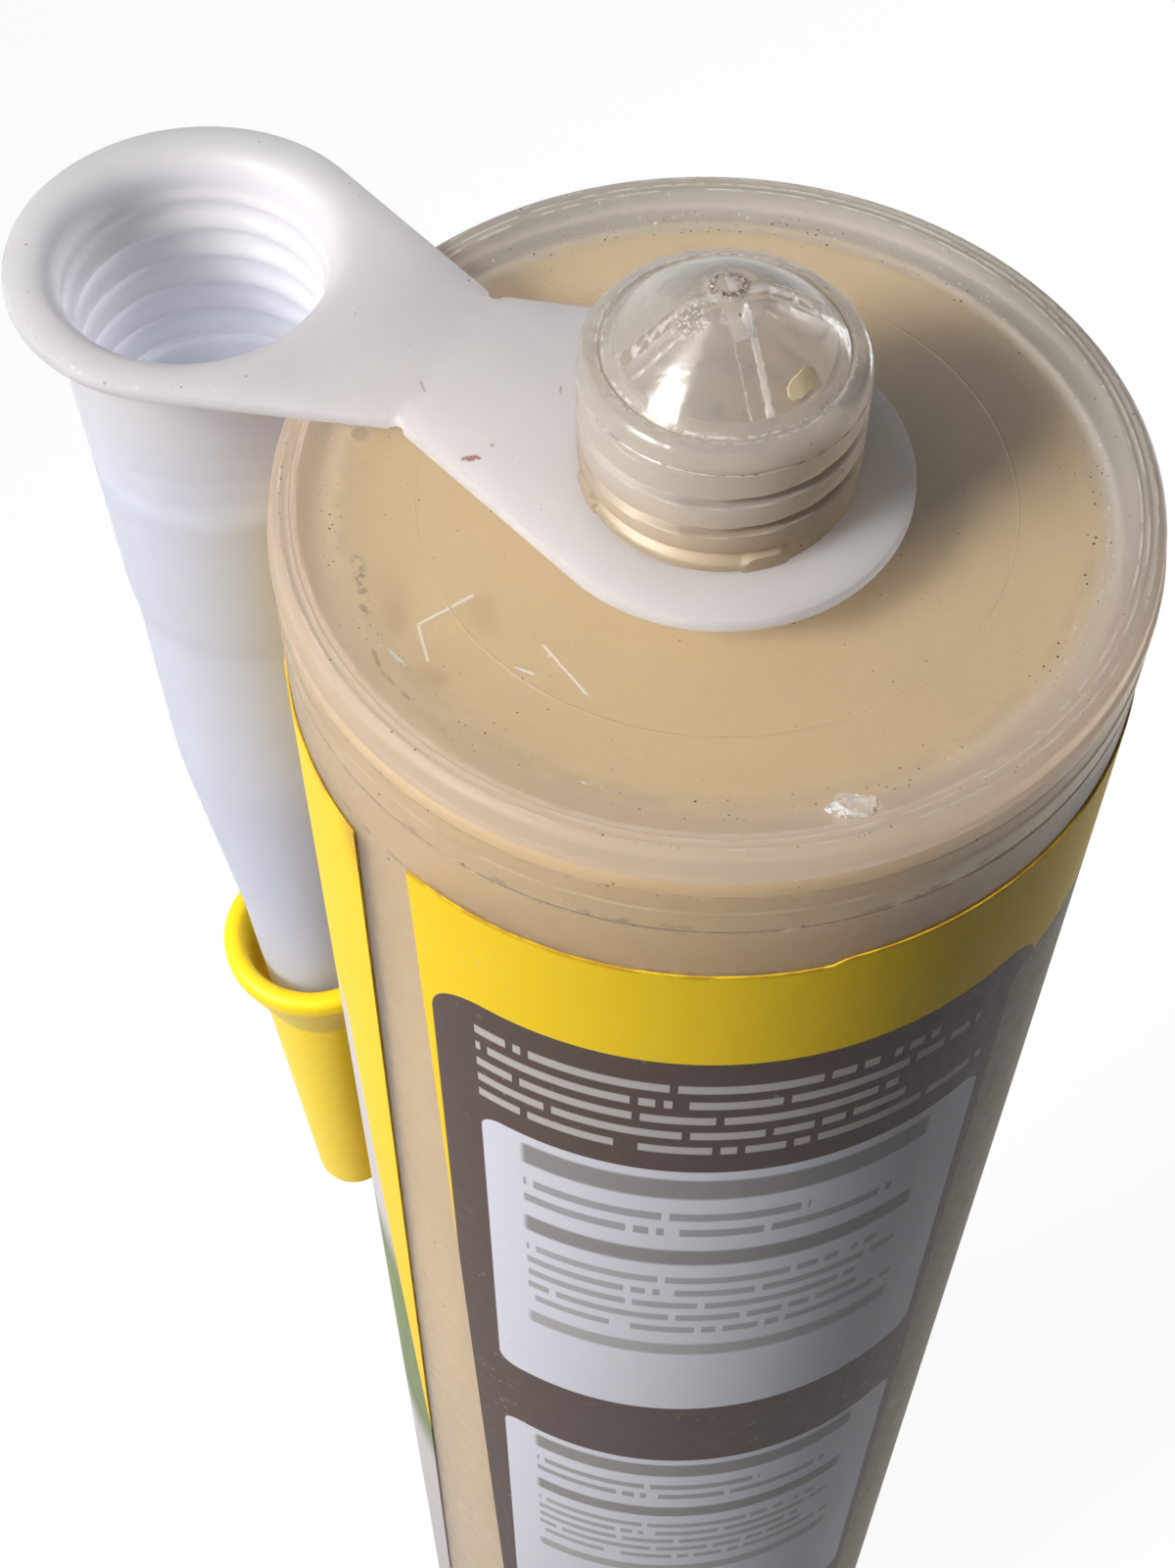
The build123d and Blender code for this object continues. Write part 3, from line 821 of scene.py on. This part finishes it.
def shape_cartridge(theta, r, z, first_inner):
    """Adds the thread, the lugs, the gate mark and the ribs inside the dome to the turned form."""
    outside = (r > NIPPLE_BORE + 0.5) & (r < CREST_RADIUS + 0.4)
    on_thread = outside & (z > THREAD_START) & (z < LAND_BOTTOM)
    r = np.where(on_thread, NECK_RADIUS + (CREST_RADIUS - NECK_RADIUS) * thread_height(theta, z), r)
    narrow = 0.6 * smoothstep(BEAD_BOTTOM + 0.4, BEAD_BOTTOM + LUG_HEIGHT, z)
    half = LUG_WIDTH / 2 - narrow
    lug = smoothstep(0.1, -0.1, np.abs(off_nearest(theta, LUG_COUNT)) * NECK_RADIUS - half)
    lug_top = BEAD_BOTTOM + LUG_HEIGHT
    lug = lug * (z > BEAD_BOTTOM - 0.01) * smoothstep(lug_top + 0.1, lug_top - 0.1, z)
    r = np.where(outside & (z < THREAD_START), np.maximum(r, NECK_RADIUS + LUG_REACH * lug), r)
    aside = np.abs(np.sin(off_nearest(theta, RIB_COUNT))) * r
    inside = np.broadcast_to(np.arange(r.shape[1]) >= first_inner, r.shape)
    rib = smoothstep(RIB_WIDTH / 2 + 0.12, RIB_WIDTH / 2 - 0.12, aside)
    top = (z > DOME_TOP - 0.7) & ~inside
    from_gate = np.hypot(r * np.cos(theta) - GATE_X, r * np.sin(theta) - GATE_Y)
    ragged = 0.55 + 0.45 * np.sin(5 * theta + 1.0) * np.sin(11 * theta)
    ring = smoothstep(0.24, 0.06, np.abs(from_gate - GATE_RADIUS)) * ragged
    dish = smoothstep(1.9, 1.2, from_gate)
    z = np.where(inside, z - RIB_DEPTH * rib, np.where(top, z - 0.14 * dish * (1 - ring), z))
    return r, z


def cartridge_outline():
    """Half section of the cartridge, down outside and up inside, and where the dome's inside starts."""
    dome = curve((0, DOME_TOP), (DOME_FLAT + 1.1, DOME_TOP), (DOME_RADIUS, LEDGE), 44)
    ledge = rounded([
        (DOME_RADIUS, LEDGE, 0),
        (DOME_RADIUS + 0.1, LEDGE - 0.14, 0.05),
        (DOME_RADIUS + 0.22, LEDGE - 0.04, 0.08),
        (CREST_RADIUS - 0.05, LEDGE - 0.2, 0.95),
        (CREST_RADIUS, LEDGE - 1.3, 0.03),
        (CREST_RADIUS - 0.1, LEDGE - 1.38, 0.03),
        (CREST_RADIUS, LEDGE - 1.46, 0.03),
        (CREST_RADIUS, LAND_BOTTOM, 0),
    ])
    thread_top = (NECK_RADIUS, LAND_BOTTOM - 0.02)
    thread = dense([(CREST_RADIUS, LAND_BOTTOM), thread_top, (NECK_RADIUS, THREAD_START)], 0.12)
    foot = rounded([
        (NECK_RADIUS, THREAD_START, 0),
        (NECK_RADIUS, BEAD_BOTTOM + 0.8, 0.1),
        (NECK_RADIUS + BEAD_REACH, BEAD_BOTTOM + BEAD_HEIGHT, 0.1),
        (NECK_RADIUS + BEAD_REACH, BEAD_BOTTOM, 0.1),
        (NECK_RADIUS, BEAD_BOTTOM, 0),
    ])
    body = rounded([
        (NECK_RADIUS, BEAD_BOTTOM, 0),
        (NECK_RADIUS, RIM_TOP, 0.1),
        (COLLAR_RADIUS, RIM_TOP, 0.15),
        (COLLAR_RADIUS, SHOULDER_TOP, 0.3),
        (RIM_INNER - 0.7, SHOULDER_TOP, 1.0),
        (RIM_INNER + 0.75, RIM_TOP, 0.3),
        (RIM_INNER + 0.95, RIM_TOP - 0.07, 0.08),
        (RIM_INNER + 1.15, RIM_TOP, 0.08),
        (RIM_INNER + 1.4, RIM_TOP - 0.06, 0.08),
        (RIM_OUTER - 0.55, RIM_TOP, 0.1),
        (RIM_OUTER, RIM_TOP - 0.35, 0.3),
        (RIM_OUTER, RIM_TOP - 1.7, 0.08),
        (TUBE_RADIUS, RIM_TOP - 1.95, 0.08),
        (TUBE_RADIUS, SEAM_Z + 0.25, 0.06),
        (TUBE_RADIUS - 0.25, SEAM_Z, 0.06),
        (TUBE_RADIUS - 0.1, SEAM_Z - 0.25, 0.06),
        (TUBE_RADIUS - 0.1, LEDGE_LINE_Z + 0.15, 0.05),
        (TUBE_RADIUS, LEDGE_LINE_Z, 0.05),
        (TUBE_RADIUS, LOW_SEAM_Z + 0.16, 0.05),
        (TUBE_RADIUS - 0.16, LOW_SEAM_Z, 0.05),
        (TUBE_RADIUS, LOW_SEAM_Z - 0.16, 0.05),
        (TUBE_RADIUS, 0.0, 0.3),
        (BORE_RADIUS + LEAD_IN_DEPTH, 0.0, 0.2),
        (BORE_RADIUS + LEAD_IN_DEPTH, LEAD_IN_LENGTH, 0.1),
        (BORE_RADIUS, LEAD_IN_LENGTH + LEAD_IN_DEPTH, 0.1),
        (BORE_RADIUS, SHOULDER_UNDERSIDE - INNER_CORNER, 0),
    ])
    corner = arc((BORE_RADIUS, SHOULDER_UNDERSIDE - INNER_CORNER),
                 (BORE_RADIUS - INNER_CORNER, SHOULDER_UNDERSIDE), -INNER_CORNER, 8)
    throat = rounded([
        (BORE_RADIUS - INNER_CORNER, SHOULDER_UNDERSIDE, 0),
        (NIPPLE_BORE, SHOULDER_UNDERSIDE, 0.4),
        (NIPPLE_BORE, LEDGE, 0),
    ])
    ceiling = DOME_TOP - DOME_WALL
    inner_dome = dense([(NIPPLE_BORE, LEDGE), (CEILING_RADIUS, ceiling), (0, ceiling)], 0.2)
    outline = dome + ledge[1:-1] + thread + dense(foot[1:], 0.12) + body[1:] + corner[1:] + throat[1:]
    return outline + inner_dome[1:], len(outline)


def strap_outline(inset):
    """Plan of the strap, ring and flange, drawn in by an inset, with nicks at the waist."""
    outline = []
    bite = NICK_RADIUS + inset
    for side in (-1, 1):
        ring = side_of_eye(0.0, RING_RADIUS - inset, side, inset)
        flange = side_of_eye(NOZZLE_X, FLANGE_RADIUS - inset, side, inset)
        nick = [(WAIST_X + bite * math.cos(a), side * (WAIST_HALF - bite * math.sin(a)))
                for a in np.linspace(0.25, math.pi - 0.25, 7)]
        outline += (ring + nick + flange[::-1]) if side < 0 else (flange + nick[::-1] + ring[::-1])
    return outline


def side_of_eye(centre_x, radius, side, inset):
    """Half of a round eye, from its far point to where it leaves for the waist."""
    away = 1 if centre_x > WAIST_X else -1
    reach = abs(centre_x - WAIST_X)
    half_waist = WAIST_HALF - inset
    lean = math.atan2(half_waist, reach)
    tangent = lean + math.acos(min(1.0, radius / math.hypot(reach, half_waist)))
    return [(centre_x + away * radius * math.cos(a), side * radius * math.sin(a))
            for a in np.linspace(0.0, math.pi - tangent, 49)[1 if side > 0 else 0:]]


def socket_shape(theta, r, z):
    """Soft rounded thread ridges inside the socket."""
    inside = (r > SOCKET_MAJOR - 0.01) & (r < SOCKET_MAJOR + 0.01) & (z > SOCKET_BOTTOM + 0.1)
    turns = (z - SOCKET_BOTTOM) / THREAD_PITCH - theta / (2 * math.pi)
    wave = 0.5 + 0.5 * np.cos(2 * math.pi * turns)
    ends = smoothstep(SOCKET_BOTTOM, SOCKET_BOTTOM + 1.0, z)
    ends = ends * smoothstep(PLATE_TOP - 2.0, PLATE_TOP - 3.4, z)
    return np.where(inside, r - (SOCKET_MAJOR - SOCKET_MINOR) * wave ** 1.4 * ends, r), z


def nozzle_outline():
    """Half section of the nozzle, down outside to the tip and up the bore to its mouth."""
    outside = rounded([
        (SOCKET_RADIUS, PLATE_BOTTOM, 0),
        (BARREL_RADIUS + STEP, STEP_Z + STEP_RUN, 0.8),
        (BARREL_RADIUS, STEP_Z - STEP_RUN, 0.8),
        (BARREL_END_RADIUS, BARREL_END, 2.5),
        (KNEE_RADIUS, KNEE_Z, 2.5),
        (TIP_RADIUS, TIP_Z, 0.2),
        (TIP_RADIUS - TIP_WALL, TIP_Z, 0.2),
        (KNEE_RADIUS - NOZZLE_WALL, KNEE_Z, 2.0),
        (BARREL_END_RADIUS - NOZZLE_WALL, BARREL_END, 2.0),
        (BARREL_RADIUS - NOZZLE_WALL, STEP_Z, 0.5),
        (SOCKET_MINOR, SOCKET_BOTTOM, 0.3),
        (SOCKET_MAJOR, SOCKET_BOTTOM, 0),
    ])
    bore = dense([(SOCKET_MAJOR, SOCKET_BOTTOM), (SOCKET_MAJOR, PLATE_TOP - MOUTH_DEPTH)], 0.15)
    mouth = [(SOCKET_MAJOR + MOUTH_REACH * (1 - math.cos(a)), PLATE_TOP - MOUTH_DEPTH * (1 - math.sin(a)))
             for a in np.linspace(0, math.pi / 2, 9)]
    return outside + bore[1:] + mouth[1:]


def add_nozzle():
    """Nozzle, strap and ring: a turned body let into a flat plate with rounded edges."""
    body = turned_mesh("nozzle_body", nozzle_outline(), TURN_STEPS, socket_shape, NOZZLE_X)
    work = bmesh.new()
    work.from_mesh(body)
    bpy.data.meshes.remove(body)

    def ring_of(centre_x, radius, z):
        """Points of a level circle."""
        angles = np.arange(TURN_STEPS) * 2 * math.pi / TURN_STEPS
        return [(centre_x + radius * math.cos(a), radius * math.sin(a), z) for a in angles]

    def loop_at(points):
        """Corners and edges of a closed loop."""
        verts = [work.verts.new(Vector(p) * MM) for p in points]
        return verts, [work.edges.new((a, b)) for a, b in zip(verts, verts[1:] + verts[:1])]

    def wall(loops):
        """Faces from each loop to the next."""
        for low, high in zip(loops, loops[1:]):
            for i in range(len(low)):
                k = (i + 1) % len(low)
                work.faces.new((low[i], low[k], high[k], high[i]))

    edge = PLATE_EDGE
    soft = edge * 0.3
    rims = []
    for inset, z in ((edge, PLATE_BOTTOM), (soft, PLATE_BOTTOM + soft), (0.0, PLATE_BOTTOM + edge),
                     (0.0, PLATE_TOP - edge), (soft, PLATE_TOP - soft), (edge, PLATE_TOP)):
        rims.append(loop_at([(x, y, z) for x, y in strap_outline(inset)]))
    bores = []
    for flare, z in ((soft, PLATE_BOTTOM), (0.0, PLATE_BOTTOM + soft),
                     (0.0, PLATE_TOP - soft), (soft, PLATE_TOP)):
        bores.append(loop_at(ring_of(0.0, RING_BORE + flare, z)))
    wall([verts for verts, edges in rims])
    wall([verts for verts, edges in bores])
    for rim, bore, radius, z in ((rims[0], bores[0], SOCKET_RADIUS, PLATE_BOTTOM),
                                 (rims[-1], bores[-1], SOCKET_MAJOR + MOUTH_REACH, PLATE_TOP)):
        eye = loop_at(ring_of(NOZZLE_X, radius, z))
        bmesh.ops.triangle_fill(work, use_beauty=True, edges=rim[1] + bore[1] + eye[1])
    mesh = to_mesh("nozzle_moulding", work)
    piece = add_object("nozzle_moulding", mesh, "nozzle", milky_plastic(), smooth_angle=25)
    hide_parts("nozzle")


def add_cartridge():
    """The moulding in one mesh, with a finish for each of its zones."""
    outline, first_inner = cartridge_outline()

    def shape(theta, r, z):
        """The turned form with all that isn't round."""
        return shape_cartridge(theta, r, z, first_inner)

    mesh = turned_mesh("cartridge_shell", outline, SHELL_STEPS, shape)
    shell = add_object("cartridge_shell", mesh, "tube", clear_wall())
    mesh.materials.append(clear_top())
    mesh.materials.append(clear_nipple())
    mesh.materials.append(clear_inside("clear_bore", 0.5))
    mesh.materials.append(clear_inside("clear_inside", 0.06))
    middles = np.empty(len(mesh.polygons) * 3)
    mesh.polygons.foreach_get("center", middles)
    x, y, z = middles.reshape(-1, 3).T / MM
    r = np.hypot(x, y)
    inwards = np.clip((NIPPLE_BORE - r) / (NIPPLE_BORE - CEILING_RADIUS), 0, 1)
    slope = (DOME_TOP - DOME_WALL - LEDGE) * inwards
    inside = (z < SHOULDER_UNDERSIDE + 0.05) & (r < TUBE_RADIUS - TUBE_WALL / 2) & (z > 0.02)
    bore = (r < NIPPLE_BORE + 0.25) & (z > SHOULDER_UNDERSIDE) & (z < LEDGE + slope + 0.3)
    on_nipple = (z > RIM_TOP + 0.05) & (r < COLLAR_RADIUS)
    zone = np.select([inside, bore, on_nipple, z > RIM_TOP - 2.2], [4, 3, 2, 1], 0)
    mesh.polygons.foreach_set("material_index", zone.astype(np.int32))
    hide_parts("cartridge")


def add_fill():
    """Paste up to the shoulder and into the nipple's neck."""
    foot = FILL_LOW.z
    top = SHOULDER_UNDERSIDE - FILL_GAP
    corner = INNER_CORNER + 0.3
    neck = NIPPLE_BORE - FILL_GAP
    outline = [(0, foot + CROWN_RISE), (BOSS_RADIUS, foot + CROWN_RISE), (FILL_RADIUS, foot)]
    outline += [(FILL_RADIUS, top - corner)]
    outline += arc((FILL_RADIUS, top - corner), (FILL_RADIUS - corner, top), -corner, 8)[1:]
    outline += [(neck, top), (neck, PLUG_TOP - 0.5), (neck - 0.6, PLUG_TOP), (0, PLUG_TOP)]

    def uneven(theta, r, z):
        """Lumps in the top of the plug."""
        lumps = 0.35 * np.sin(2 * theta + 0.7) + 0.25 * np.sin(3 * theta + r) - 0.12 * r
        return r, np.where(z > RIM_TOP + 2.0, z + lumps * smoothstep(RIM_TOP + 2.0, PLUG_TOP, z), z)

    mesh = turned_mesh("sealant_paste", dense(outline, 2.0), PASTE_STEPS, uneven)
    paste = add_object("sealant_paste", mesh, "tube", sealant())
    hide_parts("sealant_fill")
    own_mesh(paste)


def add_chip():
    """Angular clear flake lying at the foot of the rim."""
    place = Vector((15.7, -15.7, SHOULDER_TOP + 0.2))
    low_corners = ((-1.3, -0.5), (-0.2, -1.0), (1.1, -0.5), (1.2, 0.6), (0.2, 1.0), (-1.0, 0.7))
    corners = [(x, y, 0.0) for x, y in low_corners]
    corners += [(-0.9, -0.4, 0.8), (-0.1, -0.7, 1.0), (0.8, -0.2, 0.7), (0.6, 0.6, 0.9), (-0.5, 0.4, 0.6)]
    mesh = hull_mesh("clear_chip", [Vector(corner) * 1.15 + place for corner in corners])
    add_object("clear_chip", mesh, "tube", clear_chip(), smooth_angle=10)


def add_flake():
    """Thin crumb of dried paste stuck on the dome."""
    outline = ((-1.05, -0.2), (-0.9, -0.5), (-0.5, -0.62), (0.0, -0.55), (0.5, -0.5), (0.9, -0.25),
               (1.05, 0.1), (0.9, 0.4), (0.5, 0.55), (0.0, 0.45), (-0.5, 0.42), (-0.9, 0.2))
    centre = Vector((4.97, -1.58, LEDGE + 1.2))
    along = Vector((0.30, 0.95, 0.0))
    across = Vector((-0.70, 0.22, 0.69))
    outwards = along.cross(across)
    points = []
    for lift in (-0.1, 0.06):
        points += [centre + along * u + across * v + outwards * (lift - u * u / 11) for u, v in outline]
    dry = sealant("dry_paste", (236, 214, 172), (244, 226, 188))
    add_object("paste_crumb", hull_mesh("paste_crumb", points), "tube", dry, smooth_angle=30)


def add_label():
    """Film round the tube, with slanted ends beside the bare strip."""
    columns, rows = 240, 48
    share = np.linspace(0, 1, columns + 1)
    height = np.linspace(LABEL_TOP, LABEL_BOTTOM, rows + 1)
    down = (LABEL_TOP - height) / (LABEL_TOP - LABEL_BOTTOM)
    half_gap = STRIP_FRONT + (STRIP_REAR - STRIP_FRONT) * down
    first = STRIP_AZIMUTH + half_gap
    last = STRIP_AZIMUTH + 2 * math.pi - half_gap
    theta = first[None, :] + share[:, None] * (last - first)[None, :]
    azimuth = np.degrees(theta) + 360 * (np.degrees(theta) < -180)
    lower = LAST_END_DROP * smoothstep(LAST_END_SHARE, 1.0, share)[:, None]
    lower = lower + TOP_STEP * smoothstep(-46.0, -47.0, azimuth)
    z = np.broadcast_to(height, theta.shape) - lower * (1 - down)[None, :] ** 3
    sheets = []
    for radius in (LABEL_RADIUS, LABEL_RADIUS - FILM_THICKNESS):
        sheets.append(np.stack([radius * np.cos(theta), radius * np.sin(theta), z], -1).reshape(-1, 3) * MM)
    corners = np.concatenate(sheets)
    size = (columns + 1) * (rows + 1)
    index = np.arange(size).reshape(columns + 1, rows + 1)
    outer = np.stack([index[:-1, :-1], index[:-1, 1:], index[1:, 1:], index[1:, :-1]], -1).reshape(-1, 4)
    faces = outer.tolist() + (outer[:, ::-1] + size).tolist()
    border = np.concatenate([index[:, 0], index[-1, 1:], index[-2::-1, -1], index[0, -2:0:-1]])
    following = np.roll(border, -1)
    faces += np.stack([border, following, following + size, border + size], -1).tolist()
    mesh = bpy.data.meshes.new("label_sheet")
    mesh.from_pydata(corners.tolist(), [], faces)
    sheet = add_object("label_sheet", weld(mesh), "tube", label_film())
    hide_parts("label")


def dress_node(name, material):
    """Gives a CAD node a better finish."""
    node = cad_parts[name]
    node.data.materials.clear()
    node.data.materials.append(material)


# Stage


def add_camera():
    """Camera aimed at the rim's centre, then turned to frame the object."""
    aim = Vector((0, 0, RIM_TOP))
    east, north = math.cos(CAMERA_AZIMUTH), math.sin(CAMERA_AZIMUTH)
    level, rise = math.cos(CAMERA_ELEVATION), math.sin(CAMERA_ELEVATION)
    back = Vector((level * east, level * north, rise))
    right = Vector((-north, east, 0))
    turn = Matrix((right, back.cross(right), back)).transposed()
    for angle, axis in ((CAMERA_PAN, "Y"), (CAMERA_TILT, "X"), (CAMERA_ROLL, "Z")):
        turn = turn @ Matrix.Rotation(angle, 3, axis)
    data = bpy.data.cameras.new("camera")
    data.lens = FOCAL_PIXELS / IMAGE_HEIGHT * data.sensor_width
    data.clip_start = 0.005
    camera = place_object("camera", data)
    camera.matrix_world = Matrix.Translation((aim + back * CAMERA_DISTANCE) * MM) @ turn.to_4x4()
    bpy.context.scene.camera = camera


def add_light(name, place, aim, size, spread, watts, tint):
    """Square soft lamp aimed at a point, with its beam narrowed to a spread."""
    data = bpy.data.lights.new(name, "AREA")
    data.size = size
    data.spread = math.radians(spread)
    data.energy = watts
    data.color = tint
    lamp = place_object(name, data)
    lamp.visible_camera = False
    lamp.location = place
    lamp.rotation_euler = (Vector(aim) - Vector(place)).to_track_quat("-Z", "Y").to_euler()


def add_surroundings():
    """Pale floor that keeps a faint shadow, and a pale even sky."""
    mesh = bpy.data.meshes.new("floor")
    corners = [(x * FLOOR_REACH, y * FLOOR_REACH, 0) for x, y in ((-1, -1), (1, -1), (1, 1), (-1, 1))]
    mesh.from_pydata(corners, [], [(0, 1, 2, 3)])
    place_object("floor", mesh)
    look = Look("floor")
    look.set(Base_Color=FLOOR_TONE, Roughness=0.9)
    glow = look.add("ShaderNodeEmission", Strength=FLOOR_GLOW)
    look.lay_over(look.both(look.seen_directly(), FLOOR_WHITENESS), glow)
    mesh.materials.append(look.material)

    world = bpy.data.worlds.new("world")
    world.use_nodes = True
    bpy.context.scene.world = world
    sky = Nodes(world.node_tree)
    background = sky.tree.nodes["Background"]
    background.inputs["Color"].default_value = (1, 1, 1, 1)
    strength = sky.add("ShaderNodeMapRange", Value=sky.seen_directly(), To_Min=SKY_LIGHT, To_Max=1.0)
    sky.feed(background.inputs["Strength"], strength.outputs[0])


def main():
    """Builds the pieces and the stage."""
    bpy.context.scene.view_settings.view_transform = "Standard"
    add_cartridge()
    add_fill()
    add_chip()
    add_flake()
    add_label()
    add_nozzle()
    dress_node("nozzle_cap", yellow_plastic())
    dress_node("piston", piston_plastic())
    add_camera()
    add_light("key", **KEY_LAMP)
    add_light("back", **BACK_LAMP)
    add_surroundings()


main()
